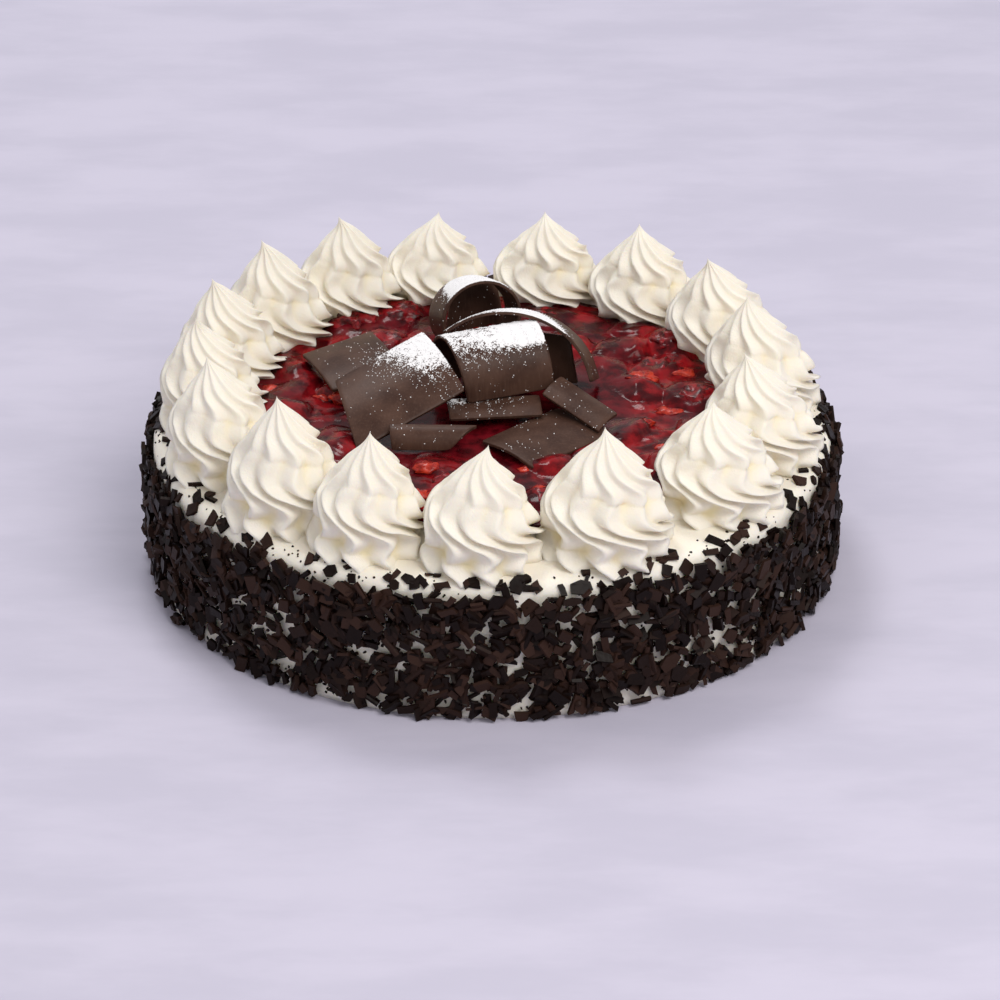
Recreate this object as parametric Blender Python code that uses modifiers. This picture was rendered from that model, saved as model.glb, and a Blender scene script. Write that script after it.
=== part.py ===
"""A black forest cake: a cream-coated round cake with chocolate flakes round its side.

Sixteen piped cream swirls stand round the rim, cherry compote fills the space inside
them, and nine bent chocolate shavings lie in a loose pile on the compote.
Units are metres, +Z is up, and the origin is the middle of the cake's flat base.
"""

import math

import bmesh
import bpy
from mathutils import Euler, Matrix, Vector, noise

# ---------------------------------------------------------------- driving sizes
CAKE_RADIUS = 0.1172          # the cream coat on the side
CAKE_HEIGHT = 0.0500
EDGE_ROUND = 0.0045           # rounded top edge of the cream
GAP = 0.0003                  # left between pieces that touch

FLAKE_DEPTH = 0.0028          # how far the flakes stand out from the cream
FLAKE_FOOT = 0.0010           # the flakes start just above the base
FLAKE_TOP = 0.0455            # mean upper edge of the flakes
FLAKE_UNEVEN = 0.0014         # how much that edge wanders

RING_RADIUS = 0.0955          # circle on which the swirls stand
RING_START = -136.0           # degrees, the first swirl, front left
# Degrees from each swirl to the next: the piped ring is tighter on the left than the right.
RING_STEPS = (21, 22, 26, 30, 23, 23, 22, 24, 23, 24, 20, 20, 19, 19, 19, 25)
SWIRL_RADIUS = 0.0204         # of a swirl with an even share of the ring
# Height of each swirl in millimetres, from the first one round.
SWIRL_HEIGHTS = (44, 41, 40, 43, 37, 38, 41, 40, 39, 37, 37, 42, 43, 41, 41, 41)
SWIRL_RIDGES = 10             # points of the star nozzle
SWIRL_FLUTE = 0.17            # depth of the creases between ridges, of the radius
SWIRL_TWIST = 2.1             # radians the ridges turn from foot to tip
SWIRL_TIERS = 2.4             # turns of the coil from foot to tip
SWIRL_STEP = 0.13             # depth of the step between turns, of the radius
TIP_DRIFT = 0.0070            # how far the tips lean, mostly towards -X
SWIRL_ROWS = (0.0, 0.10, 0.22, 0.33, 0.44, 0.56, 0.68, 0.80, 0.91)

COMPOTE_DEPTH = 0.0070        # mean depth of the cherry layer
COMPOTE_LUMP = 0.0026         # height of its lumps, outside the pile of shavings
COMPOTE_REACH = 0.0835        # how far it runs out between two swirls
COMPOTE_CLEAR = 0.0010        # clearance to the swirls' feet
PILE_RADIUS = 0.050           # the compote is pressed flat under the pile
COMPOTE_COLUMNS = 56
COMPOTE_ROWS = 9

SHEET = 0.0013                # thickness of a chocolate shaving


# ---------------------------------------------------------------- materials
def material(name, colour, roughness, metallic=0.0):
    """A plain Principled material."""
    made = bpy.data.materials.new(name)
    made.use_nodes = True
    shader = made.node_tree.nodes["Principled BSDF"]
    shader.inputs["Base Color"].default_value = (*colour, 1.0)
    shader.inputs["Roughness"].default_value = roughness
    shader.inputs["Metallic"].default_value = metallic
    return made


def cream():
    return material("whipped_cream", (0.83, 0.77, 0.64), 0.5)


def flake_chocolate():
    return material("flake_chocolate", (0.016, 0.009, 0.006), 0.5)


def cherry():
    return material("cherry_compote", (0.16, 0.008, 0.012), 0.12)


def dark_chocolate():
    return material("dark_chocolate", (0.045, 0.026, 0.019), 0.4)


# ---------------------------------------------------------------- helpers
def add_object(name, mesh, collection, finish):
    """An object for a mesh, in the collection, with its material."""
    made = bpy.data.objects.new(name, mesh)
    mesh.materials.append(finish)
    collection.objects.link(made)
    return made


def rolled_grid(name, columns, rows, place, weld=1e-6):
    """A grid of columns x rows, wrapped by place(column share, row share) into a closed skin."""
    sheet = bmesh.new()
    bmesh.ops.create_grid(sheet, x_segments=columns, y_segments=rows, size=0.5)
    for corner in sheet.verts:
        corner.co = place(corner.co.x + 0.5, corner.co.y + 0.5)
    bmesh.ops.remove_doubles(sheet, verts=sheet.verts, dist=weld)
    bmesh.ops.triangulate(sheet, faces=sheet.faces)
    bmesh.ops.recalc_face_normals(sheet, faces=sheet.faces)
    mesh = bpy.data.meshes.new(name)
    sheet.to_mesh(mesh)
    sheet.free()
    mesh.shade_smooth()
    return mesh


def polar(radius, angle, height):
    return Vector((radius * math.cos(angle), radius * math.sin(angle), height))


# ---------------------------------------------------------------- cake and flakes
def cake_profile():
    """Half outline of the cake, from the top's middle, over the rounded edge, to the base."""
    corner = CAKE_RADIUS - EDGE_ROUND
    shoulder = CAKE_HEIGHT - EDGE_ROUND
    outline = [Vector((0, 0, CAKE_HEIGHT)), Vector((corner, 0, CAKE_HEIGHT))]
    steps = 4
    for step in range(1, steps + 1):
        bend = math.pi / 2 * step / steps
        across = corner + EDGE_ROUND * math.sin(bend)
        outline.append(Vector((across, 0, shoulder + EDGE_ROUND * math.cos(bend))))
    outline.append(Vector((CAKE_RADIUS, 0, 0)))
    outline.append(Vector((0, 0, 0)))
    return outline


def make_cake(collection):
    """The cream-coated cake: a turned profile."""
    outline = bmesh.new()
    corners = [outline.verts.new(point) for point in cake_profile()]
    for first, second in zip(corners, corners[1:]):
        outline.edges.new((first, second))
    mesh = bpy.data.meshes.new("cake")
    outline.to_mesh(mesh)
    outline.free()
    cake = add_object("cake", mesh, collection, cream())
    turned = cake.modifiers.new("turned", "SCREW")
    turned.steps = 72
    turned.render_steps = 72
    turned.use_merge_vertices = True
    turned.merge_threshold = 0.0001
    turned.use_smooth_shade = True
    return cake


def flake_section(share):
    """Cross-section of the flake layer: (how far out 0..1, how high 0..1) round its outline."""
    around = ((0.0, 0.0), (1.0, 0.0), (1.0, 0.33), (1.0, 0.67), (1.0, 0.97), (0.0, 1.0))
    return around[round(share * len(around)) % len(around)]


def make_flakes(collection):
    """The layer of chocolate flakes as one uneven ring, out to its rough outline."""
    inner = CAKE_RADIUS + GAP

    def place(turn, share):
        out, up = flake_section(share)
        angle = math.tau * (turn % 1.0)
        wander = noise.noise(polar(6.0, angle, 4.0 * up)) * FLAKE_UNEVEN
        top = FLAKE_TOP + noise.noise(polar(9.0, angle, 3.0)) * FLAKE_UNEVEN
        radius = inner + out * (FLAKE_DEPTH - FLAKE_UNEVEN / 2 + wander)
        return polar(radius, angle, FLAKE_FOOT + up * (top - FLAKE_FOOT))

    mesh = rolled_grid("flake_coat", 80, 6, place)
    return add_object("flake_coat", mesh, collection, flake_chocolate())


# ---------------------------------------------------------------- swirls
def ring_angles():
    """Where each swirl stands on the ring, in radians."""
    angles = []
    angle = RING_START
    for step in RING_STEPS:
        angles.append(math.radians(angle))
        angle += step
    return angles


def swirl_character(number, angle):
    """Size, height and lean of one swirl: no two are piped alike."""
    share = (RING_STEPS[number - 1] + RING_STEPS[number]) * len(RING_STEPS) / 720.0
    radius = SWIRL_RADIUS * math.sqrt(share)
    height = SWIRL_HEIGHTS[number] / 1000.0
    front = max(0.0, -math.sin(angle))
    sideways = TIP_DRIFT * (0.35 * front - math.cos(angle) ** 2)
    inward = -0.5 * TIP_DRIFT * max(0.0, math.sin(angle))
    return radius, height, Vector((sideways, inward, 0.0))


def swirl_radius(angle, rise):
    """Radius of the coil at an angle and a rise (0 foot, 1 tip), as a share of the foot's."""
    envelope = (1.0 - rise ** 2.2) ** 1.2
    coil = (rise * SWIRL_TIERS - angle / math.tau) % 1.0
    step = SWIRL_STEP * (1.0 - math.sin(math.pi * coil) ** 0.6) * min(1.0, 3.0 * rise + 0.3)
    return envelope * (1.0 - step)


def make_swirl(number, angles, collection, finish):
    """One piped swirl: ridged, twisted, in rising turns that end in a leaning tip."""
    here = angles[number]
    radius, height, lean = swirl_character(number, here)
    before = angles[number - 1] - (math.tau if number == 0 else 0.0)
    after = angles[0] + math.tau if number + 1 == len(angles) else angles[number + 1]
    limits = (((before + here) / 2, 1.0), ((after + here) / 2, -1.0))
    centre = polar(RING_RADIUS, here, CAKE_HEIGHT + GAP)
    ridge_columns = 2 * SWIRL_RIDGES
    row_count = len(SWIRL_ROWS) + 1

    def place(turn, share):
        row = round(share * row_count)
        if row == 0:
            return centre.copy()
        if row == row_count:
            return centre + lean + Vector((0.0, 0.0, height))
        rise = SWIRL_ROWS[row - 1]
        column = round(turn * ridge_columns) % ridge_columns
        angle = math.tau * column / ridge_columns - SWIRL_TWIST * rise
        flute = 1.0 if column % 2 == 0 else 1.0 - SWIRL_FLUTE
        reach = radius * flute * swirl_radius(angle, rise)
        point = centre + polar(reach, angle, rise * height) + lean * rise ** 2
        for limit, side in limits:
            inward = Vector((-math.sin(limit), math.cos(limit), 0.0)) * side
            past = GAP - inward.dot(point)
            if past > 0.0:
                point = point + inward * past
        return point

    name = f"swirl_{number + 1:02d}"
    mesh = rolled_grid(name, ridge_columns, row_count, place)
    return add_object(name, mesh, collection, finish)


# ---------------------------------------------------------------- compote
def compote_edge(angle, angles):
    """How far the compote runs out at an angle: up to the swirls' feet."""
    edge = COMPOTE_REACH
    for number, where in enumerate(angles):
        foot = swirl_character(number, where)[0] + COMPOTE_CLEAR
        off = RING_RADIUS * math.sin(angle - where)
        along = RING_RADIUS * math.cos(angle - where)
        if along > 0.0 and abs(off) < foot:
            edge = min(edge, along - math.sqrt(foot * foot - off * off))
    return edge


def compote_height(point):
    """Height of the compote's lumpy top at a place in plan."""
    spread = noise.noise(Vector((point.x * 70, point.y * 70, 2.0)))
    small = noise.noise(Vector((point.x * 160, point.y * 160, 5.0)))
    pile = min(1.0, max(0.0, (point.length - PILE_RADIUS) / 0.016))
    lumps = COMPOTE_LUMP * (spread + 0.4 * small) * pile
    return CAKE_HEIGHT + COMPOTE_DEPTH + lumps


def make_compote(angles, collection):
    """Cherry compote: one lumpy layer inside the ring of swirls."""
    base = CAKE_HEIGHT + GAP

    def place(turn, share):
        angle = math.tau * (turn % 1.0)
        row = round(share * COMPOTE_ROWS)
        if row == 0:
            return Vector((0.0, 0.0, base))
        if row == 1:
            return polar(compote_edge(angle, angles), angle, base)
        inward = (COMPOTE_ROWS - row) / (COMPOTE_ROWS - 2)
        flat = polar(compote_edge(angle, angles) * inward ** 0.8, angle, 0.0)
        sunk = 0.0022 if row == 2 else 0.0
        return flat + Vector((0.0, 0.0, compote_height(flat) - sunk))

    mesh = rolled_grid("cherry_topping", COMPOTE_COLUMNS, COMPOTE_ROWS, place)
    return add_object("cherry_topping", mesh, collection, cherry())


# ---------------------------------------------------------------- shavings
# Each shaving is a thin sheet bent round its own axis, which runs along its local X.
# bend: radius, then the arc's first and last angle (0 back, 90 top, 180 front).
# slant and taper: the sheet's far edge is moved along and shortened.
# coil: how much the bend tightens towards the last angle.  squash: height of the bend.
SHAVINGS = {
    "curl_1": dict(length=0.014, bend=(0.0150, -50, 215), turn=(0, 16, 112),
                   at=(-0.0053, 0.0415, 0.0705), coil=0.10, squash=0.88),
    "curl_2": dict(length=0.016, bend=(0.0300, 40, 172), turn=(0, 22, 80),
                   at=(0.0062, 0.0118, 0.0588), squash=0.85),
    "curl_3": dict(length=0.036, bend=(0.0148, -30, 191), turn=(0, -3, 16),
                   at=(-0.0010, 0.0052, 0.0670), slant=0.0035, taper=0.14),
    "curl_4": dict(length=0.036, bend=(0.0420, 84, 128), turn=(0, -17, 29),
                   at=(-0.0260, 0.0040, 0.0342), slant=-0.0065, taper=-0.22),
    "curl_5": dict(length=0.026, bend=(0.0600, 74, 104), turn=(0, -9, 22),
                   at=(-0.0400, 0.0220, 0.0060)),
    "curl_6": dict(length=0.026, bend=(0.0140, 69, 120), turn=(0, 13, -41),
                   at=(0.0279, -0.0109, 0.0518), slant=0.002),
    "curl_7": dict(length=0.032, bend=(0.0300, 88, 110), turn=(0, 0, 6),
                   at=(0.0005, -0.0085, 0.0329)),
    "curl_8": dict(length=0.030, bend=(0.0056, 84, 184), turn=(0, 0, -2),
                   at=(-0.0200, -0.0314, 0.0588), slant=-0.004, taper=0.35),
    "curl_9": dict(length=0.036, bend=(0.0500, 76, 106), turn=(0, 0, 43),
                   at=(0.0177, -0.0284, 0.0101)),
    "curl_10": dict(length=0.013, bend=(0.0400, 156, 180), turn=(0, 0, -15),
                    at=(0.0304, 0.0548, 0.0580), taper=-0.60),
    "curl_11": dict(length=0.017, bend=(0.0500, 163, 183), turn=(0, 0, 20),
                    at=(-0.0230, 0.0997, 0.0620), taper=-0.30),
}


def make_shaving(name, collection, finish, length, bend, turn, at,
                 slant=0.0, taper=0.0, coil=0.0, squash=1.0):
    """One bent chocolate shaving: a strip curved round an axis, then given its thickness."""
    radius, first, last = bend
    arcs = max(4, round(abs(last - first) / 16))
    strip = bmesh.new()
    bmesh.ops.create_grid(strip, x_segments=3, y_segments=arcs, size=0.5)
    for corner in strip.verts:
        share = corner.co.y + 0.5
        angle = math.radians(first + (last - first) * share)
        reach = radius * (1.0 - coil * share ** 3)
        along = corner.co.x * length * (1.0 - taper * share) + slant * share
        corner.co = Vector((along, reach * math.cos(angle), reach * math.sin(angle) * squash))
    bmesh.ops.recalc_face_normals(strip, faces=strip.faces)
    mesh = bpy.data.meshes.new(name)
    strip.to_mesh(mesh)
    strip.free()
    mesh.shade_smooth()
    shaving = add_object(name, mesh, collection, finish)
    pitch, tilt, yaw = (math.radians(value) for value in turn)
    shaving.matrix_world = Matrix.Translation(at) @ Euler((pitch, tilt, yaw)).to_matrix().to_4x4()
    thick = shaving.modifiers.new("thickness", "SOLIDIFY")
    thick.thickness = SHEET
    thick.offset = 0.0
    thick.use_even_offset = True
    return shaving


# ---------------------------------------------------------------- the whole cake
def main():
    for old in list(bpy.data.objects):
        bpy.data.objects.remove(old)
    collection = bpy.data.collections.new("black_forest_cake")
    bpy.context.scene.collection.children.link(collection)
    make_cake(collection)
    make_flakes(collection)
    angles = ring_angles()
    piped = cream()
    for number in range(len(angles)):
        make_swirl(number, angles, collection, piped)
    make_compote(angles, collection)
    chocolate = dark_chocolate()
    for name, shape in SHAVINGS.items():
        make_shaving(name, collection, chocolate, **shape)


main()
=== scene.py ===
# %% [markdown]
# # A black forest cake
# A round cake coated in whipped cream, with dark chocolate flakes pressed round its side,
# sixteen piped swirls on its rim, cherry compote inside them, and a pile of bent chocolate
# shavings dusted with icing sugar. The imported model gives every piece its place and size,
# and this lesson gives each piece its real surface.

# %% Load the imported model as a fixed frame
import math
import random

import bmesh
import bpy
import numpy as np
from mathutils import Euler, Matrix, Vector, noise


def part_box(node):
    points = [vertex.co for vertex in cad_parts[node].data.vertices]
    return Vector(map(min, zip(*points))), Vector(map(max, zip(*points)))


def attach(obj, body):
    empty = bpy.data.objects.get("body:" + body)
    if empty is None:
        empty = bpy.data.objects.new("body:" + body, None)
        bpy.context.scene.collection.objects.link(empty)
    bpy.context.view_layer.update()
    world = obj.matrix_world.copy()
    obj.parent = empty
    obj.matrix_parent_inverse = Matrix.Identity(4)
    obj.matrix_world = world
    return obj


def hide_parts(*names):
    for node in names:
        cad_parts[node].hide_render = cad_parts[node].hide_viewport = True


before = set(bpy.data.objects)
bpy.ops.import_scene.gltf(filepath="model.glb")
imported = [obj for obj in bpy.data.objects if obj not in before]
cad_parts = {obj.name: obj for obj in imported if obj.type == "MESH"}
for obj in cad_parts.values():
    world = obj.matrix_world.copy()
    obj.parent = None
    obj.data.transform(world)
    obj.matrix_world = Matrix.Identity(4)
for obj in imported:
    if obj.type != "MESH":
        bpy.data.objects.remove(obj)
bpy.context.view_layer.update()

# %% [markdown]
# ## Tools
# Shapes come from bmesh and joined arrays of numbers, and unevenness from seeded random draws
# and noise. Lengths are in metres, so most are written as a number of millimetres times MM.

MM = 0.001
noise.seed_set(1)           # without it, the noise vectors follow the clock

# %% [markdown]
# ## Sizes taken from the frame
# The cake's cream and its flake layer give the radii and heights that the rest is built on.

# %% Sizes of the cake
GEL_HEAP = 1.6 * MM         # how far the compote's highest lumps stand over its level

_, cake_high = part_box("cake")
_, flake_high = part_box("flake_coat")
_, compote_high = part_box("cherry_topping")
CREAM_RADIUS = cake_high.x
CREAM_TOP = cake_high.z
FLAKE_TOP = flake_high.z
COMPOTE_TOP = compote_high.z - GEL_HEAP
SWIRLS = sorted(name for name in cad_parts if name.startswith("swirl_"))
SHAVINGS = sorted(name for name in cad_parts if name.startswith("curl_"))
print(f"cream radius {CREAM_RADIUS / MM:.1f} mm, top {CREAM_TOP / MM:.1f} mm, {len(SWIRLS)} swirls")

# %% [markdown]
# ## Writing materials as sums
# A material here is a sum of fields: numbers that vary over a surface. The small class below
# wraps a node's socket, so that ordinary arithmetic on it adds the Math nodes. Any other node
# comes from one method that takes its type, its settings and what its sockets are given.


# %% Fields and paints
class Field:
    """A number that varies over a surface, with Python's arithmetic."""

    def __init__(self, paint, socket):
        self.paint = paint
        self.socket = socket

    def math(self, operation, first, second=0.0):
        inputs = {0: first, 1: second}
        node = self.paint.node("ShaderNodeMath", {"operation": operation}, inputs)
        return Field(self.paint, node.outputs[0])

    def __add__(self, other):
        return self.math("ADD", self, other)

    __radd__ = __add__

    def __sub__(self, other):
        return self.math("SUBTRACT", self, other)

    def __rsub__(self, other):
        return self.math("SUBTRACT", other, self)

    def __mul__(self, other):
        return self.math("MULTIPLY", self, other)

    __rmul__ = __mul__

    def ramp(self, low, high):
        """0 below low, 1 above high, smooth between. Low may be the larger of the two."""
        settings = {"interpolation_type": "SMOOTHSTEP"}
        limits = {"Value": self, "From Min": low, "From Max": high}
        return Field(self.paint, self.paint.node("ShaderNodeMapRange", settings, limits).outputs[0])


class Paint:
    """A procedural material round one Principled shader."""

    def __init__(self, name, **constants):
        self.material = bpy.data.materials.new(name)
        self.material.use_nodes = True
        self.tree = self.material.node_tree
        self.shader = self.tree.nodes["Principled BSDF"]
        for socket, value in constants.items():
            self.shader.inputs[socket.replace("_", " ")].default_value = value

    def give(self, socket, value):
        if isinstance(value, Field):
            value = value.socket
        if isinstance(value, bpy.types.NodeSocket):
            self.tree.links.new(value, socket)
        else:
            socket.default_value = value

    def node(self, kind, settings, inputs):
        made = self.tree.nodes.new(kind)
        for setting, value in settings.items():
            setattr(made, setting, value)
        for socket, value in inputs.items():
            self.give(made.inputs[socket], value)
        return made

    def place(self, stretch=(1.0, 1.0, 1.0)):
        """Object coordinates in millimetres, stretched by the given factors."""
        coordinates = self.node("ShaderNodeTexCoord", {}, {}).outputs["Object"]
        scale = tuple(1000.0 * factor for factor in stretch)
        return self.node("ShaderNodeMapping", {}, {"Vector": coordinates, "Scale": scale}).outputs[0]

    def grain(self, size, detail=3.0, rough=0.5, stretch=(1.0, 1.0, 1.0)):
        """Soft noise whose spots are about size millimetres across."""
        inputs = {"Vector": self.place(stretch), "Scale": 1.0 / size, "Detail": detail, "Roughness": rough}
        return Field(self, self.node("ShaderNodeTexNoise", {}, inputs).outputs["Fac"])

    def marked(self, attribute):
        """A number stored on the mesh."""
        node = self.node("ShaderNodeAttribute", {"attribute_name": attribute}, {})
        return Field(self, node.outputs["Fac"])

    def mix(self, share, first, second):
        """A colour between two: the first where share is 0, the second where it is 1."""
        node = self.node("ShaderNodeMix", {"data_type": "RGBA"}, {0: share, 6: first, 7: second})
        return node.outputs[2]

    def bump(self, height, depth):
        """A normal from a height field, where 1 is depth millimetres."""
        inputs = {"Height": height, "Distance": depth * MM, "Strength": 1.0}
        return self.node("ShaderNodeBump", {}, inputs).outputs[0]

    def use(self, **fields):
        for socket, value in fields.items():
            self.give(self.shader.inputs[socket.replace("_", " ")], value)
        return self.material


def rgb(red, green, blue):
    return (red, green, blue, 1.0)


# %% [markdown]
# ## Turning a grid into a closed skin
# Most pieces here are soft, closed skins. Each one starts as a flat grid, which is rolled up:
# its columns go round the piece, its rows run from the middle of the underside to the top,
# and the doubled vertices along the seam and at both poles are merged. A rule for the place of
# each grid point then makes the piece, and may store a number there for its material.


# %% Helpers for pieces
MERGE_DISTANCE = 1e-7


def rolled_skin(name, columns, rows, place, mark):
    """A grid rolled up by place(turn, share), which returns a point and the mark stored there."""
    skin = bmesh.new()
    marks = skin.verts.layers.float.new(mark)
    bmesh.ops.create_grid(skin, x_segments=columns, y_segments=rows, size=0.5)
    for corner in skin.verts:
        corner.co, corner[marks] = place(corner.co.x + 0.5, corner.co.y + 0.5)
    bmesh.ops.remove_doubles(skin, verts=skin.verts, dist=MERGE_DISTANCE)
    bmesh.ops.recalc_face_normals(skin, faces=skin.faces)
    mesh = bpy.data.meshes.new(name)
    skin.to_mesh(mesh)
    skin.free()
    mesh.shade_smooth()
    return mesh


def add_piece(name, mesh, material, slot, *nodes):
    """Shows a mesh as a piece that rides on the cake and stands for its CAD nodes."""
    piece = bpy.data.objects.new(name, mesh)
    bpy.context.scene.collection.objects.link(piece)
    mesh.materials.clear()
    mesh.materials.append(material)
    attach(piece, "root")
    if nodes:
        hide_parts(*nodes)
    return piece


def polar(radius, angle, height=0.0):
    return Vector((radius * math.cos(angle), radius * math.sin(angle), height))


def smooth(value, low, high):
    """0 below low, 1 above high, smooth between."""
    share = min(1.0, max(0.0, (value - low) / (high - low)))
    return share * share * (3.0 - 2.0 * share)


def rough(point, size, seed=0.0):
    """Noise from -1 to 1 with lumps about size across."""
    return noise.noise(Vector((point.x / size, point.y / size, point.z / size + seed)))


# %% [markdown]
# ## Floor
# A plain pale floor, faintly clouded, shows the cake's shadow without drawing the eye.

# %% Floor
FLOOR_SIZE = 6.0
FLOOR_DARKER = rgb(0.545, 0.52, 0.635)
FLOOR_LIGHTER = rgb(0.60, 0.57, 0.69)


def make_floor():
    floor_mesh = bmesh.new()
    bmesh.ops.create_grid(floor_mesh, x_segments=1, y_segments=1, size=FLOOR_SIZE)
    mesh = bpy.data.meshes.new("floor")
    floor_mesh.to_mesh(mesh)
    floor_mesh.free()
    paint = Paint("pale_floor", Roughness=0.7)
    cloud = paint.grain(60.0, detail=5.0, rough=0.6, stretch=(0.6, 1.6, 1.0))
    colour = paint.mix(cloud.ramp(0.35, 0.65), FLOOR_DARKER, FLOOR_LIGHTER)
    mesh.materials.append(paint.use(Base_Color=colour))
    floor = bpy.data.objects.new("floor", mesh)
    bpy.context.scene.collection.objects.link(floor)


make_floor()
print("floor:", 2 * FLOOR_SIZE, "m square")


# %% [markdown]
# ## Light
# A large, faintly warm softbox at the front right models the cream. A smaller one behind gives
# the wet glints on the gel, and a pale sky keeps the shadows open.

# %% Lights
LIGHT_TARGET = Vector((0.0, 0.0, 0.05))
NEUTRAL = (1.0, 1.0, 1.0)
FAINTLY_WARM = (1.0, 0.97, 0.93)
SKY_STRENGTH = 0.55


def add_light(name, size, watts, place, colour):
    """A square softbox at a place, facing the middle of the cake."""
    lamp = bpy.data.lights.new(name, "AREA")
    lamp.size = size
    lamp.energy = watts
    lamp.color = colour
    holder = bpy.data.objects.new(name, lamp)
    bpy.context.scene.collection.objects.link(holder)
    aim = (LIGHT_TARGET - Vector(place)).to_track_quat("-Z", "Y").to_matrix().to_4x4()
    holder.matrix_world = Matrix.Translation(place) @ aim


add_light("key", 0.9, 14.0, (0.6, -0.8, 1.3), FAINTLY_WARM)
add_light("back", 0.5, 9.0, (-0.3, 0.9, 1.5), NEUTRAL)

sky = bpy.data.worlds.new("sky")
bpy.context.scene.world = sky
sky.use_nodes = True
sky_light = sky.node_tree.nodes["Background"]
sky_light.inputs["Color"].default_value = rgb(0.97, 0.965, 1.0)
sky_light.inputs["Strength"].default_value = SKY_STRENGTH
bpy.context.scene.view_settings.view_transform = "Standard"
print("two softboxes and a sky of strength", SKY_STRENGTH)

# %% [markdown]
# ## Camera
# It stands far off with a long lens, which keeps the cake's outline nearly round, and looks
# down at about 29 degrees, so that the pile of shavings shows between the swirls.

# %% Camera
CAMERA_ELEVATION = math.radians(28.84)
CAMERA_RISE = math.radians(0.52)      # aims a little above the base
CAMERA_YAW = math.radians(0.10)
CAMERA_DISTANCE = 15.5 * 0.120        # in cake radii, and the radius in metres
CAMERA_LENS = 190.75                  # millimetres
CAMERA_CLIP_END = 50.0


def make_camera():
    camera_data = bpy.data.cameras.new("camera")
    camera_data.lens = CAMERA_LENS
    camera_data.clip_end = CAMERA_CLIP_END
    camera = bpy.data.objects.new("camera", camera_data)
    bpy.context.scene.collection.objects.link(camera)
    tilt = math.pi / 2 - CAMERA_ELEVATION + CAMERA_RISE
    turn = Euler((tilt, 0.0, -CAMERA_YAW)).to_matrix().to_4x4()
    place = CAMERA_DISTANCE * Vector((0.0, -math.cos(CAMERA_ELEVATION), math.sin(CAMERA_ELEVATION)))
    camera.matrix_world = Matrix.Translation(place) @ turn
    bpy.context.scene.camera = camera


make_camera()
print(f"camera {CAMERA_DISTANCE:.2f} m from the cake")

# %% [markdown]
# ## Whipped cream
# Cream is a matt, faintly translucent white. Down in its creases less light reaches, and what passes
# through more cream turns a warm pale yellow; that yellow is painted shade and painted glow, led
# from the white by the crease number stored on each piece. Fine noise keeps the surface from looking like
# plastic.


# %% Cream material
CREAM_WARM = rgb(0.905, 0.845, 0.725)
CREAM_WHITE = rgb(0.935, 0.885, 0.785)
CREAM_CREASE_SHADE = rgb(0.90, 0.79, 0.50)


def cream_material():
    paint = Paint("whipped_cream", Subsurface_Weight=0.18, Subsurface_Scale=0.004, IOR=1.4)
    paint.shader.inputs["Subsurface Radius"].default_value = (1.0, 0.75, 0.45)
    paint.shader.inputs["Specular IOR Level"].default_value = 0.35
    # painted shade: the crease number turns the cream a warm yellow where its creases lie in shade
    crease = paint.marked("crease").ramp(0.30, 1.15)
    patches = paint.grain(9.0, detail=2.0)
    white = paint.mix(patches, CREAM_WARM, CREAM_WHITE)
    colour = paint.mix(crease, white, CREAM_CREASE_SHADE)
    fine = paint.grain(0.7, detail=4.0) + 0.5 * paint.grain(3.5, detail=2.0)
    return paint.use(Base_Color=colour, Roughness=0.42 + 0.14 * patches, Normal=paint.bump(fine, 0.16))


CREAM = cream_material()
print("material:", CREAM.name)

# %% [markdown]
# ## The cream coat
# The cake is coated with a palette knife, which leaves a nearly true round with a soft edge
# and slow waves. It is a rolled skin too: up from the middle of the base, round the side,
# over the rounded edge, and in to the middle of the top.

# %% Cream coat
EDGE_ROUND = 4.5 * MM
BASE_END = 0.15             # shares of the way from the base's middle to the top's middle
SIDE_END = 0.45
EDGE_END = 0.65


def cream_outline(share):
    """Radius and height on the coat's outline: base, side, rounded edge, top."""
    if share < BASE_END:
        return CREAM_RADIUS * share / BASE_END, 0.0
    if share < SIDE_END:
        return CREAM_RADIUS, (CREAM_TOP - EDGE_ROUND) * (share - BASE_END) / (SIDE_END - BASE_END)
    if share < EDGE_END:
        bend = math.pi / 2 * (share - SIDE_END) / (EDGE_END - SIDE_END)
        out = CREAM_RADIUS - EDGE_ROUND * (1.0 - math.cos(bend))
        return out, CREAM_TOP - EDGE_ROUND * (1.0 - math.sin(bend))
    return (CREAM_RADIUS - EDGE_ROUND) * (1.0 - share) / (1.0 - EDGE_END), CREAM_TOP


def coat_place(turn, share):
    """A point of the coat, waved by the knife on its side and rim, and its crease number."""
    radius, height = cream_outline(share)
    point = polar(radius, math.tau * (turn % 1.0), height)
    knife = smooth(height, 2.0 * MM, 30.0 * MM) * smooth(radius, 40.0 * MM, 100.0 * MM)
    wave = 0.5 * MM * rough(point, 22.0 * MM) + 0.18 * MM * rough(point, 5.0 * MM, 3.0)
    outwards = polar(1.0, math.tau * (turn % 1.0), 0.6)
    return point + outwards * wave * knife, 0.0


coat_mesh = rolled_skin("cream_coat", 240, 60, coat_place, "crease")
coat = add_piece("cream_coat", coat_mesh, CREAM, "cream", "cake")
print("cream coat:", len(coat.data.vertices), "vertices")

# %% [markdown]
# ## Piped swirls
# A swirl is piped through a star nozzle held upright, moved round about twice and lifted off.
# That leaves eleven crisp ridges with soft valleys, turned as they rise, in two tiers with a
# step that winds down between them, and a tip where the cream tore off. The radius is written
# as a product of those parts: the outline, the winding step and the ridges.

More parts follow.
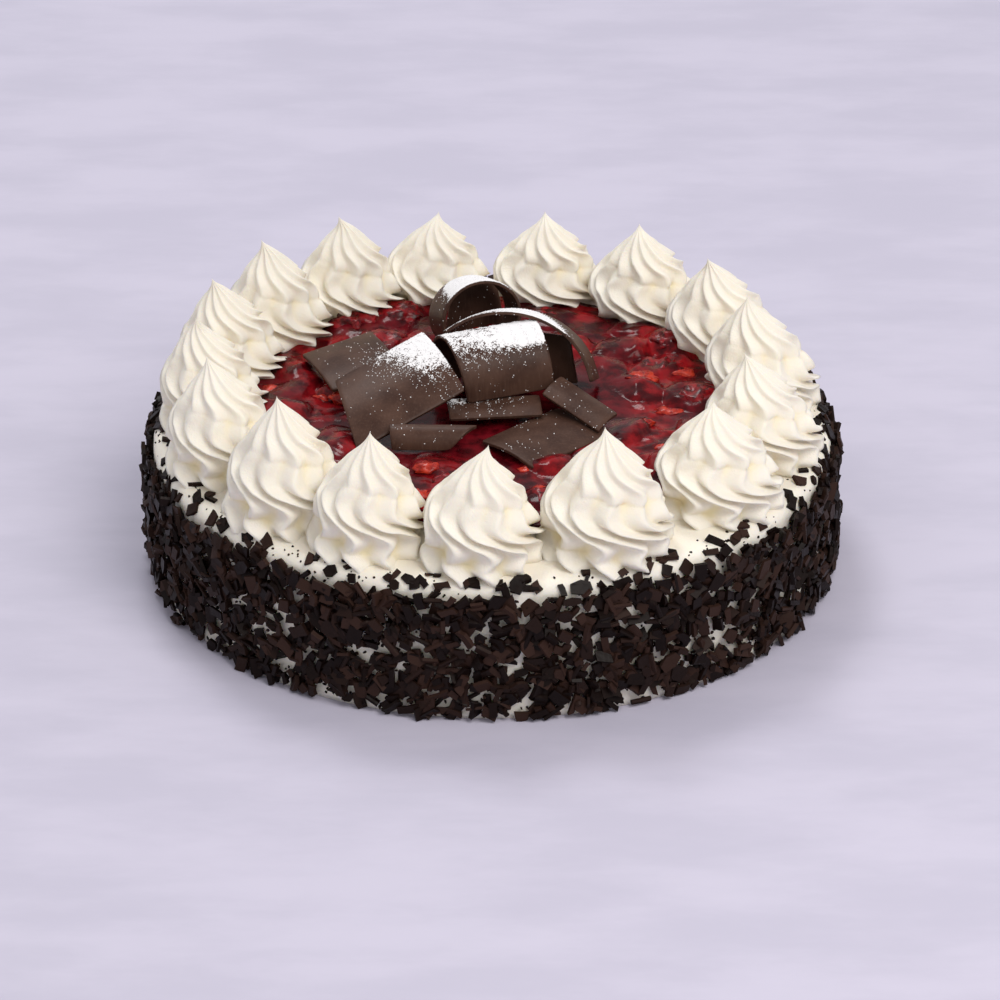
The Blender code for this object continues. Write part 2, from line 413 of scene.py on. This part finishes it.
# %% Swirls
RIDGES = 11
TWIST = 2.0               # radians the ridges turn from foot to tip
TIERS = 2.1               # turns of the coil
STEP = 0.15               # depth of the step between tiers, of the radius
FLUTE = 0.24              # height of the ridges, of the radius
SWEEP = 0.34              # how far the ridges bend sideways within a tier, radians
SPREAD = 1.07             # the piped foot's radius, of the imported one
RIDGE_POWER = 1.4         # above 1 rounds the ridges' crests
OUTLINE_POWER = 1.55      # above 1 draws the tip out
SEAT_DEPTH = 1.0 * MM     # how far a swirl sinks into the coat
COLUMNS_PER_RIDGE = 11
SWIRL_ROWS = 84
FOOT_SHARE = 0.03         # rows below this share close the underside


def seat_of(name):
    """Middle of a swirl's foot, its radius, and its tip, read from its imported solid."""
    low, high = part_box(name)
    corners = [vertex.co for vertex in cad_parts[name].data.vertices]
    tip = max(corners, key=lambda corner: corner.z)
    middle = Vector(((low.x + high.x) / 2, (low.y + high.y) / 2, low.z))
    return middle, max(high.x - low.x, high.y - low.y) / 2, tip.copy()


def make_swirl_mesh(name, number):
    """One piped swirl. Its number gives it its own noise."""
    middle, radius, tip = seat_of(name)
    middle.z = CREAM_TOP - SEAT_DEPTH
    height = tip.z - middle.z
    lean = Vector((tip.x - middle.x, tip.y - middle.y, 0.0))
    start = random.uniform(0.0, math.tau)
    twist = TWIST * random.uniform(0.80, 1.25)
    tiers = TIERS * random.uniform(0.88, 1.12)
    hook = polar(random.uniform(0.6, 2.4) * MM, random.uniform(0.0, math.tau))

    def place(turn, share):
        if share < 0.01:
            return middle.copy(), 0.0
        if share > 0.999:
            return middle + lean + hook + Vector((0.0, 0.0, height)), 0.0
        rise = max(0.0, (share - FOOT_SHARE) / (1.0 - FOOT_SHARE))
        ridge_turn = turn % 1.0
        angle = math.tau * ridge_turn + start - twist * rise
        coil = (rise * tiers + angle / math.tau) % 1.0
        step_fade = smooth(rise, 0.04, 0.20) * (1.0 - smooth(rise, 0.48, 0.80))
        bulge = math.sin(math.pi * coil) ** 0.45
        ridge = 1.0 - abs(math.sin(math.pi * RIDGES * ridge_turn)) ** RIDGE_POWER
        angle += SWEEP * math.sin(math.tau * coil) * step_fade
        outline = (1.0 - rise ** 3) ** OUTLINE_POWER
        foot = 0.97 + 0.03 * smooth(rise, 0.0, 0.10)
        cut = FLUTE * (1.0 - ridge) * (1.0 - 0.30 * rise)
        step = STEP * (1.0 - bulge) * step_fade
        reach = radius * SPREAD * outline * foot * (1.0 - step) * (1.0 - cut)
        point = middle + polar(reach, angle, rise * height) + lean * rise ** 2
        point += hook * smooth(rise, 0.82, 1.0) ** 2
        wobble = 0.9 * MM * rough(point, 9.0 * MM, number * 3.0)
        wobble += 0.3 * MM * rough(point, 3.0 * MM, 40.0)
        point += polar(wobble * outline, angle)
        sag = rough(point, 8.0 * MM, number * 5.0) * smooth(rise, 0.05, 0.3)
        point.z += 0.8 * MM * outline * sag
        # painted shade: the valleys between ridges and the step between tiers, more of it towards the
        # foot, go into the crease number that paints the cream yellow
        shade = 0.62 * (1.0 - ridge) ** 3 + (1.0 - bulge) ** 1.3 * step_fade
        return point, min(1.0, shade * (1.15 - rise))

    return rolled_skin(name + "_piped", RIDGES * COLUMNS_PER_RIDGE, SWIRL_ROWS, place, "crease")


random.seed(7)
for number, name in enumerate(SWIRLS):
    add_piece("piped_" + name, make_swirl_mesh(name, number), CREAM, "cream", name)
print(len(SWIRLS), "swirls piped")

# %% [markdown]
# ## Cherry compote
# The compote is thick cherry gel over whole and broken fruit. Its skin is one height field:
# a level pool, raised in a soft heap over every fruit, and crumpled where skins of torn fruit
# show. Whole cherries and bright scraps of flesh then stick out of it.

# %% Where the fruit lies
PILE_RADIUS = 46.0 * MM         # under the shavings, where no fruit stands up
COMPOTE_RADIUS = 88.0 * MM      # reaches just under the swirls
FRUITS = 34
FRUIT_GAP = 11.5 * MM           # least distance between the middles of two fruits
NEAR_FRUIT = 2.0e-4             # square metres: a fruit's longest half size squared, and a little


def scatter_fruit():
    """Places and shapes of the fruit under the gel: middle, half sizes, turn and height."""
    fruits = []
    while len(fruits) < FRUITS:
        place = polar(random.uniform(44.0, 80.0) * MM, random.uniform(0.0, math.tau))
        if all((place - fruit[0]).length > FRUIT_GAP for fruit in fruits):
            sizes = (random.uniform(9.0, 14.0) * MM, random.uniform(7.0, 10.0) * MM)
            turn = random.uniform(0.0, math.pi)
            fruits.append((place, sizes, turn, random.uniform(2.0, 4.6) * MM))
    return fruits


random.seed(21)
FRUIT = scatter_fruit()
print(len(FRUIT), "fruits under the gel")


# %% [markdown]
# ## The gel's skin
# The gel's height at each place is its level, plus slow waves, plus the fruit below, plus folds
# that are sharper where torn fruit shows. It dips at its rim, where it meets the swirls.

# %% The height of the gel
RIM_SHARE = 0.012           # rows below this share make the underside and the rim


def fruit_height(flat):
    """How far the fruit below raises the gel at a place in plan."""
    raised = 0.0
    for place, sizes, turn, height in FRUIT:
        off = flat - place
        if off.length_squared < NEAR_FRUIT:
            along = (off.x * math.cos(turn) + off.y * math.sin(turn)) / sizes[0]
            across = (off.y * math.cos(turn) - off.x * math.sin(turn)) / sizes[1]
            away = along * along + across * across
            if away < 1.0:
                raised = max(raised, height * math.sqrt(1.0 - away))
    return raised


def gel_height(flat):
    """Height of the compote's skin, and how much torn fruit shows there."""
    warped = flat + 2.5 * MM * noise.noise_vector(flat / (11.0 * MM)).to_2d().to_3d()
    torn = smooth(rough(flat, 24.0 * MM, 8.0) + 0.10, -0.02, 0.16)
    pile = smooth(flat.length, PILE_RADIUS - 8.0 * MM, PILE_RADIUS + 8.0 * MM)
    raised = fruit_height(warped) * (0.75 + 0.25 * torn)
    folds = noise.ridged_multi_fractal(warped / (13.0 * MM), 1.0, 2.0, 3.0, 0.9, 2.0) - 0.9
    slow = 1.0 * MM * rough(flat, 26.0 * MM, 2.0)
    height = slow + (raised + (0.35 + 0.75 * torn) * MM * folds) * pile
    height -= 1.2 * MM * smooth(flat.length, COMPOTE_RADIUS - 5.0 * MM, COMPOTE_RADIUS)
    return COMPOTE_TOP + height, torn * pile


def compote_place(turn, share):
    """A point of the compote: its underside's middle, its rim, then in over the gel."""
    angle = math.tau * (turn % 1.0)
    if share < 0.004:
        return Vector((0.0, 0.0, CREAM_TOP)), 0.0
    if share < RIM_SHARE:
        return polar(COMPOTE_RADIUS, angle, CREAM_TOP), 0.0
    flat = polar(COMPOTE_RADIUS * ((1.0 - share) / (1.0 - RIM_SHARE)) ** 0.85, angle)
    height, torn = gel_height(flat)
    return flat + Vector((0.0, 0.0, height)), torn


# %% [markdown]
# ## Gel, skins and flesh
# The gel is a dark, wet red. Where fruit is torn it is brighter and veined. Cherry skins are
# nearly black in their hollows, and the scraps of flesh are the brightest and most orange red.

# %% Compote materials
def gel_material():
    paint = Paint("cherry_gel", Coat_Weight=0.09, Coat_Roughness=0.05, IOR=1.38)
    paint.shader.inputs["Specular IOR Level"].default_value = 0.17
    torn = paint.marked("torn")
    clots = paint.grain(7.0, detail=4.0, rough=0.55)
    veins = paint.grain(2.4, detail=3.0)
    deep = paint.mix(clots.ramp(0.36, 0.66), rgb(0.030, 0.0007, 0.0020), rgb(0.130, 0.0040, 0.0085))
    bright = paint.mix(clots.ramp(0.36, 0.62), rgb(0.058, 0.0010, 0.0028), rgb(0.32, 0.0085, 0.011))
    colour = paint.mix(torn * (0.25 + 0.75 * veins), deep, bright)
    folds = clots + 0.35 * veins * torn
    return paint.use(Base_Color=colour, Roughness=0.13 + 0.12 * veins, Normal=paint.bump(folds, 0.30))


def fruit_material(name, dark, light):
    paint = Paint(name, Coat_Weight=0.15, Coat_Roughness=0.08, IOR=1.38)
    paint.shader.inputs["Specular IOR Level"].default_value = 0.3
    clots = paint.grain(3.0, detail=4.0, rough=0.6)
    colour = paint.mix(clots.ramp(0.34, 0.66), dark, light)
    return paint.use(Base_Color=colour, Roughness=0.20 + 0.16 * clots, Normal=paint.bump(clots, 0.4))


GEL = gel_material()
CHERRY = fruit_material("cherry_skin", rgb(0.045, 0.0010, 0.0025), rgb(0.27, 0.006, 0.010))
FLESH = fruit_material("cherry_flesh", rgb(0.20, 0.005, 0.006), rgb(0.56, 0.042, 0.018))
print("materials:", GEL.name, CHERRY.name, FLESH.name)

# %% [markdown]
# ## The compote in place
# The skin is rolled up from a grid with many columns and rows, as its folds are small.

# %% Compote
compote_mesh = rolled_skin("compote", 360, 120, compote_place, "torn")
add_piece("compote", compote_mesh, GEL, "cherry_compote", "cherry_topping")
print("compote:", len(compote_mesh.vertices), "vertices")


# %% [markdown]
# ## Fruit that shows above the gel
# Each piece is a ball pressed flat and crumpled with ridged noise. All of one kind are joined
# into a single mesh, so the loops below collect every piece in one bmesh.

# %% Cherries and scraps of flesh
SCRAPS = 26
CHERRY_SINK = 3.3 * MM      # how far a cherry's middle lies under the gel's skin


def add_lump(collector, place, sizes, seed, crumple, detail):
    """One crumpled ball of fruit, turned at random, added to a bmesh."""
    turn = Euler([random.uniform(0.0, math.tau) for _ in range(3)]).to_matrix().to_4x4()
    ball = bmesh.ops.create_icosphere(collector, subdivisions=detail, radius=1.0)
    for corner in ball["verts"]:
        direction = corner.co.copy()
        dent = noise.ridged_multi_fractal(direction * 1.3 + Vector((seed, 0, 0)), 0.8, 2.0, 3.0, 0.9, 2.0)
        direction *= 1.0 + crumple * (dent - 1.0)
        lying = turn @ direction
        corner.co = place + Vector((lying.x * sizes[0], lying.y * sizes[1], lying.z * sizes[2]))


def finish_lumps(name, collector, material):
    """Turns a bmesh of fruit into one piece."""
    bmesh.ops.recalc_face_normals(collector, faces=collector.faces)
    mesh = bpy.data.meshes.new(name)
    collector.to_mesh(mesh)
    collector.free()
    mesh.shade_smooth()
    add_piece(name, mesh, material, "cherry_compote")
    print(name, len(mesh.polygons), "faces")


def make_cherries():
    """Whole cherries over two fruits in three, outside the pile."""
    collector = bmesh.new()
    for number, fruit in enumerate(FRUIT):
        place = fruit[0]
        if place.length > PILE_RADIUS + 6.0 * MM and number % 3 != 1:
            top = gel_height(place)[0]
            seat = place + Vector((0.0, 0.0, top - CHERRY_SINK))
            size = random.uniform(6.5, 9.0) * MM
            add_lump(collector, seat, (size * 1.15, size, size * 0.58), number * 5.0, 0.34, 4)
    finish_lumps("cherries", collector, CHERRY)


def make_scraps():
    """Small bright scraps of flesh, anywhere outside the pile."""
    collector = bmesh.new()
    for number in range(SCRAPS):
        place = polar(random.uniform(50.0, 79.0) * MM, random.uniform(0.0, math.tau))
        size = random.uniform(1.5, 4.2) * MM
        seat = place + Vector((0.0, 0.0, gel_height(place)[0] - 0.30 * size))
        add_lump(collector, seat, (size * 1.5, size, size * 0.6), number * 3.0, 0.45, 3)
    finish_lumps("cherry_flesh_scraps", collector, FLESH)


random.seed(5)
make_cherries()
make_scraps()

# %% [markdown]
# ## Chocolate shavings
# A shaving is satin dark chocolate, clouded and faintly streaked by the scraper. Icing sugar
# was sieved over the pile from above: it is matt white, solid where it lies thick and broken
# into specks where it is thin. The sugar number stored on a shaving decides between the two.


# %% Shaving material
def shaving_material():
    paint = Paint("dark_chocolate", IOR=1.46)
    paint.shader.inputs["Specular IOR Level"].default_value = 0.15
    sugar = paint.marked("sugar")
    sieved = 0.62 * paint.grain(0.55, detail=2.0, rough=0.6) + 0.38 * paint.grain(1.9, detail=2.0)
    white = (sieved + 0.55 * sugar).ramp(0.75, 0.79)
    scrape = paint.grain(2.0, detail=3.0, stretch=(2.6, 2.6, 0.16))
    cloud = paint.grain(11.0, detail=3.0)
    brown = paint.mix(cloud.ramp(0.3, 0.7), rgb(0.046, 0.0215, 0.0150), rgb(0.084, 0.043, 0.030))
    brown = paint.mix(scrape.ramp(0.45, 0.8) * 0.35, brown, rgb(0.130, 0.076, 0.055))
    colour = paint.mix(white, brown, rgb(0.90, 0.89, 0.90))
    relief = 0.35 * white * (0.5 + sieved) + (0.06 * scrape + 0.05 * cloud) * (1.0 - white)
    roughness = (0.34 + 0.12 * cloud) * (1.0 - white) + 0.85 * white
    return paint.use(Base_Color=colour, Roughness=roughness, Normal=paint.bump(relief, 0.6))


CHOCOLATE = shaving_material()
print("material:", CHOCOLATE.name)


# %% [markdown]
# ## Bent sheets
# Each packed shaving has the right place and bend but only a few flat facets. A copy of it is
# merged, its triangles are joined to quads and subdivided into a smooth sheet with crisp rims,
# and its face is waved a little. Sugar lies thick where the chocolate faces up near the top of
# the pile, thins out down the sides, and is thinner where another shaving stood over it.

# %% Shavings
RIM_ANGLE = math.radians(50)        # a sharper edge than this is a rim
RIM_CREASE = 0.8
FLAT_ANGLE = math.radians(12)       # triangles meeting flatter than this make a quad
SUBDIVISIONS = 3
SUGAR_MIDDLE = Vector((-14.0 * MM, 8.0 * MM))
SUGAR_RADII = (36.0 * MM, 26.0 * MM)


def sheet_copy(name):
    """A merged, quadded and subdivided copy of a packed shaving, as a bmesh."""
    sheet = bmesh.new()
    sheet.from_mesh(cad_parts[name].data)
    bmesh.ops.remove_doubles(sheet, verts=sheet.verts, dist=0.02 * MM)
    bmesh.ops.join_triangles(
        sheet, faces=sheet.faces, angle_face_threshold=FLAT_ANGLE, angle_shape_threshold=math.pi)
    crease = sheet.edges.layers.float.new("crease_edge")
    for edge in sheet.edges:
        edge[crease] = RIM_CREASE if edge.calc_face_angle(0.0) > RIM_ANGLE else 0.0
    mesh = bpy.data.meshes.new(name)
    sheet.to_mesh(mesh)
    sheet.free()
    holder = bpy.data.objects.new(name, mesh)
    bpy.context.scene.collection.objects.link(holder)
    subdivision = holder.modifiers.new("smooth", "SUBSURF")
    subdivision.levels = SUBDIVISIONS
    subdivision.render_levels = SUBDIVISIONS
    smoothed = holder.evaluated_get(bpy.context.evaluated_depsgraph_get())
    sheet = bmesh.new()
    sheet.from_mesh(smoothed.to_mesh())
    bpy.data.objects.remove(holder)
    return sheet


def sugar_at(point, normal):
    """How much icing sugar lies at a point of a shaving, 0 to 1."""
    faces_up = smooth(normal.z, 0.30, 1.0)
    off = point.to_2d() - SUGAR_MIDDLE
    away = math.hypot(off.x / SUGAR_RADII[0], off.y / SUGAR_RADII[1])
    near = 1.0 - smooth(away, 0.0, 1.25)
    high = smooth(point.z, 77.0 * MM, 82.0 * MM)
    sheltered = 1.0 - smooth(point.x, 0.0, 9.0 * MM)
    sheltered *= 1.0 - smooth(point.y, 19.0 * MM, 25.0 * MM)
    patch = 0.16 * max(0.0, rough(point, 7.0 * MM, 11.0) + 0.3)
    sieved = faces_up * max(0.98 * near, high)
    return min(1.0, sieved * (1.0 - 0.45 * sheltered * high) + patch)


def make_shaving(name):
    """One shaving with its face waved and its sugar marked."""
    sheet = sheet_copy(name)
    sugar = sheet.verts.layers.float.new("sugar")
    sheet.normal_update()
    moves = [corner.normal * 0.12 * MM * rough(corner.co, 8.0 * MM, 5.0) for corner in sheet.verts]
    for corner, move in zip(sheet.verts, moves):
        corner.co += move
        corner[sugar] = sugar_at(corner.co, corner.normal)
    mesh = bpy.data.meshes.new(name)
    sheet.to_mesh(mesh)
    sheet.free()
    mesh.set_sharp_from_angle(angle=RIM_ANGLE)
    add_piece("shaving_" + name, mesh, CHOCOLATE, "chocolate", name)
    return mesh


# Among them curl_10, inside the arch, and curl_11, behind the roll, are not real shavings but dark sheets
# put where there is only shade: painted shade
shaving_meshes = [make_shaving(name) for name in SHAVINGS]
print("shavings:", sum(len(mesh.polygons) for mesh in shaving_meshes), "faces")

# %% [markdown]
# ## Scattering small things
# Flakes and sugar grains are real pieces of mesh. A few patterns of each kind are made with
# bmesh, and every copy is a turned, scaled and moved pattern. The copies of one kind are
# joined into one mesh, with a number on each that lets the material vary from one to the next.


# %% Joined copies
LOWEST_COPY = 0.1 * MM      # a copy that would reach under the base is lifted to here


def pattern_arrays(pattern):
    """Corner and face arrays of a small bmesh, which is then freed."""
    bmesh.ops.triangulate(pattern, faces=pattern.faces)
    bmesh.ops.recalc_face_normals(pattern, faces=pattern.faces)
    pattern.verts.index_update()
    corners = np.array([corner.co for corner in pattern.verts])
    faces = np.array(sorted([corner.index for corner in face.verts] for face in pattern.faces))
    pattern.free()
    return corners, faces


def joined_copies(name, patterns, copies):
    """One mesh of many copies. A copy is a pattern's number, a matrix and a tone from 0 to 1."""
    all_corners = []
    all_faces = []
    tones = []
    count = 0
    for kind, matrix, tone in copies:
        corners, faces = patterns[kind]
        turned = corners @ np.array(matrix.to_3x3()).T + np.array(matrix.translation)
        turned[:, 2] += max(0.0, LOWEST_COPY - turned[:, 2].min())
        all_corners.append(turned)
        all_faces.append(faces + count)
        tones.append(np.full(len(corners), tone))
        count += len(corners)
    mesh = bpy.data.meshes.new(name)
    mesh.from_pydata(np.concatenate(all_corners).tolist(), [], np.concatenate(all_faces).tolist())
    tone_layer = mesh.attributes.new("tone", "FLOAT", "POINT")
    tone_layer.data.foreach_set("value", np.concatenate(tones))
    return mesh


# %% [markdown]
# ## Chocolate flakes
# The side is covered in broken flakes: flat shards a few millimetres across, small rolls,
# and crumbs. They were pressed on by hand, so they lie mostly flat against the cream but
# overlap and stick out, with chinks of cream between them and an uneven upper edge.


# %% Flake patterns
SHARD_KINDS = 8
ROLL_KINDS = 3
CRUMB_KINDS = 5
CORNER_SHIFT = 0.16         # how far a shard's corner may stray, of its length
ROLL_SWEEP = math.radians(330)
ROLL_WALL = 0.16


def shard_pattern():
    """A thin, slightly bent shard with an uneven outline, about one unit long."""
    shard = bmesh.new()
    bmesh.ops.create_grid(shard, x_segments=2, y_segments=1, size=0.5)
    bend = random.uniform(-0.35, 0.35)
    for corner in shard.verts:
        corner.co.x += random.uniform(-CORNER_SHIFT, CORNER_SHIFT)
        corner.co.y += random.uniform(-CORNER_SHIFT, CORNER_SHIFT)
        corner.co.z = bend * corner.co.x ** 2
    solid = bmesh.ops.extrude_face_region(shard, geom=shard.faces[:])
    lifted = [item for item in solid["geom"] if isinstance(item, bmesh.types.BMVert)]
    bmesh.ops.translate(shard, verts=lifted, vec=(0.0, 0.0, 1.0))
    return pattern_arrays(shard)


def roll_pattern():
    """A small rolled flake: most of a tube, open at its ends."""
    roll = bmesh.new()
    bmesh.ops.create_grid(roll, x_segments=1, y_segments=7, size=0.5)
    for corner in roll.verts:
        angle = corner.co.y * ROLL_SWEEP
        reach = 0.5 - 0.12 * (corner.co.y + 0.5)
        corner.co = Vector((corner.co.x, reach * math.cos(angle), reach * math.sin(angle)))
    bmesh.ops.solidify(roll, geom=roll.faces[:], thickness=ROLL_WALL)
    return pattern_arrays(roll)


def crumb_pattern():
    """A rough crumb about one unit across."""
    crumb = bmesh.new()
    bmesh.ops.create_icosphere(crumb, subdivisions=1, radius=0.5)
    for corner in crumb.verts:
        corner.co *= random.uniform(0.6, 1.15)
    return pattern_arrays(crumb)


# %% [markdown]
# ## Where the flakes lie
# On the side they keep to a random place, spin and lean under an uneven upper edge. Strays
# lie on the cream's rounded edge, tilted with it, and most of them near its outside.

# %% Flakes on the side
def flake_sizes(lengths, widths, thickness):
    """A flake's length, width and thickness in metres, from ranges in millimetres."""
    length = random.uniform(*lengths) * MM
    width = min(length, random.uniform(*widths) * MM)
    return length, width, thickness * random.uniform(0.7, 1.3) * MM


def side_matrix(angle, height, out, spin, lean, sizes):
    """Where a flake lies: flat on the side, spun in its plane, leaning out."""
    facing = Matrix.Rotation(angle, 4, "Z") @ Matrix.Rotation(math.pi / 2, 4, "Y")
    turned = Matrix.Rotation(spin, 4, "Z") @ Matrix.Rotation(lean, 4, "X")
    scale = Matrix.Diagonal((*sizes, 1.0))
    return Matrix.Translation(polar(CREAM_RADIUS + out, angle, height)) @ facing @ turned @ scale


def flake_edge(angle):
    """Upper edge of the flakes round the side."""
    point = polar(1.0, angle)
    return FLAKE_TOP - 0.8 * MM + 1.6 * MM * rough(point, 0.35) + 0.8 * MM * rough(point, 0.06)


def flake_copies(count, kinds, lengths, widths, thickness, outs, leans):
    """Flakes pressed on the side. Lengths, widths, thickness and outs are in millimetres."""
    copies = []
    while len(copies) < count:
        angle = random.uniform(0.0, math.tau)
        height = random.uniform(1.5 * MM, FLAKE_TOP + 1.0 * MM)
        if height > flake_edge(angle):
            continue
        sizes = flake_sizes(lengths, widths, thickness)
        out = random.uniform(*outs) * MM
        lean = random.gauss(0.0, leans)
        matrix = side_matrix(angle, height, out, random.uniform(0.0, math.tau), lean, sizes)
        copies.append((random.randrange(kinds), matrix, random.random()))
    return copies


def ledge_copies(count, kinds, lengths, widths, thickness):
    """Stray flakes that lie on the cream's rounded edge, outside the swirls."""
    copies = []
    for _ in range(count):
        angle = random.uniform(0.0, math.tau)
        inwards = min(9.0, abs(random.gauss(0.0, 3.4))) * MM
        over = max(0.0, EDGE_ROUND - inwards)
        drop = EDGE_ROUND - math.sqrt(max(0.0, EDGE_ROUND ** 2 - over ** 2))
        place = polar(CREAM_RADIUS - inwards, angle, CREAM_TOP - drop)
        sizes = flake_sizes(lengths, widths, thickness)
        roll = Matrix.Rotation(over / EDGE_ROUND * 1.2 + random.gauss(0.0, 0.2), 4, "Y")
        spin = Matrix.Rotation(random.uniform(0.0, math.tau), 4, "Z")
        turned = Matrix.Rotation(angle, 4, "Z") @ roll @ spin @ Matrix.Diagonal((*sizes, 1.0))
        copies.append((random.randrange(kinds), Matrix.Translation(place) @ turned, random.random()))
    return copies


# %% [markdown]
# ## The flakes in place
# The material follows the number drawn at random for each flake: most are nearly black, and some
# are a satin brown.

# %% Flake material
def flake_material():
    paint = Paint("broken_chocolate", IOR=1.46)
    paint.shader.inputs["Specular IOR Level"].default_value = 0.12
    tone = paint.marked("tone")
    cloud = paint.grain(1.6, detail=3.0)
    dark = paint.mix(cloud, rgb(0.0045, 0.0019, 0.0015), rgb(0.0105, 0.0049, 0.0036))
    colour = paint.mix(tone.ramp(0.3, 1.0), dark, rgb(0.036, 0.017, 0.012))
    return paint.use(Base_Color=colour, Roughness=0.36 + 0.2 * tone, Normal=paint.bump(cloud, 0.15))


FLAKE = flake_material()
random.seed(11)
shards = [shard_pattern() for _ in range(SHARD_KINDS)]
rolls = [roll_pattern() for _ in range(ROLL_KINDS)]
crumbs = [crumb_pattern() for _ in range(CRUMB_KINDS)]
shard_copies = flake_copies(
    3700, SHARD_KINDS, lengths=(2.4, 6.8), widths=(1.5, 4.4), thickness=1.2, outs=(0.0, 3.0), leans=0.55)
roll_copies = flake_copies(
    520, ROLL_KINDS, lengths=(3.5, 8.0), widths=(1.4, 2.6), thickness=2.0, outs=(1.2, 3.2), leans=0.5)
crumb_copies = flake_copies(
    2300, CRUMB_KINDS, lengths=(0.7, 2.0), widths=(0.7, 1.8), thickness=1.2, outs=(0.0, 2.2), leans=0.8)
shard_copies += ledge_copies(210, SHARD_KINDS, lengths=(2.4, 6.4), widths=(1.5, 4.2), thickness=1.1)
crumb_copies += ledge_copies(260, CRUMB_KINDS, lengths=(0.6, 1.6), widths=(0.6, 1.4), thickness=1.0)
shard_mesh = joined_copies("flake_shards", shards, shard_copies)
roll_mesh = joined_copies("flake_rolls", rolls, roll_copies)
crumb_mesh = joined_copies("flake_crumbs", crumbs, crumb_copies)
add_piece("flake_shards", shard_mesh, FLAKE, "chocolate_flakes", "flake_coat")
add_piece("flake_rolls", roll_mesh, FLAKE, "chocolate_flakes")
add_piece("flake_crumbs", crumb_mesh, FLAKE, "chocolate_flakes")
print("flakes:", len(shard_copies), "shards,", len(roll_copies), "rolls,", len(crumb_copies), "crumbs")

# %% [markdown]
# ## Icing sugar grains
# The white of the sugar is in the shavings' material. Loose grains on top give its edge a real,
# granular outline. They lie on faces that carry sugar, more of them where there is more.


# %% Sugar
GRAIN_KINDS = 3
GRAIN_SIZES = (0.14 * MM, 0.36 * MM)
GRAINS_PER_SQUARE_MM = 2.2


def sugar_material():
    paint = Paint("icing_sugar", Roughness=0.8)
    tone = paint.marked("tone")
    return paint.use(Base_Color=paint.mix(tone, rgb(0.80, 0.79, 0.80), rgb(0.93, 0.93, 0.94)))


def sugar_copies(meshes, per_square_mm):
    """Grains on the faces of the shavings, more of them where the sugar number is higher."""
    copies = []
    for mesh in meshes:
        sugar = mesh.attributes["sugar"].data
        for face in mesh.polygons:
            amount = sum(sugar[index].value for index in face.vertices) / len(face.vertices)
            expected = per_square_mm * face.area / MM ** 2 * amount ** 1.3
            for _ in range(int(expected + random.random())):
                corners = [mesh.vertices[index].co for index in face.vertices]
                weights = [random.random() for _ in corners]
                place = sum((corner * weight for corner, weight in zip(corners, weights)), Vector())
                size = random.uniform(*GRAIN_SIZES)
                turn = Euler([random.uniform(0.0, math.tau) for _ in range(3)]).to_matrix().to_4x4()
                matrix = Matrix.Translation(place / sum(weights)) @ turn @ Matrix.Scale(size, 4)
                copies.append((random.randrange(GRAIN_KINDS), matrix, random.random()))
    return copies


def grain_pattern():
    """A rough cube, one unit across."""
    grain = bmesh.new()
    bmesh.ops.create_cube(grain, size=1.0)
    for corner in grain.verts:
        corner.co *= random.uniform(0.6, 1.1)
    return pattern_arrays(grain)


random.seed(3)
grains = [grain_pattern() for _ in range(GRAIN_KINDS)]
grain_copies = sugar_copies(shaving_meshes, GRAINS_PER_SQUARE_MM)
grain_mesh = joined_copies("sugar_grains", grains, grain_copies)
add_piece("sugar_grains", grain_mesh, sugar_material(), "chocolate")
print(len(grain_copies), "sugar grains")
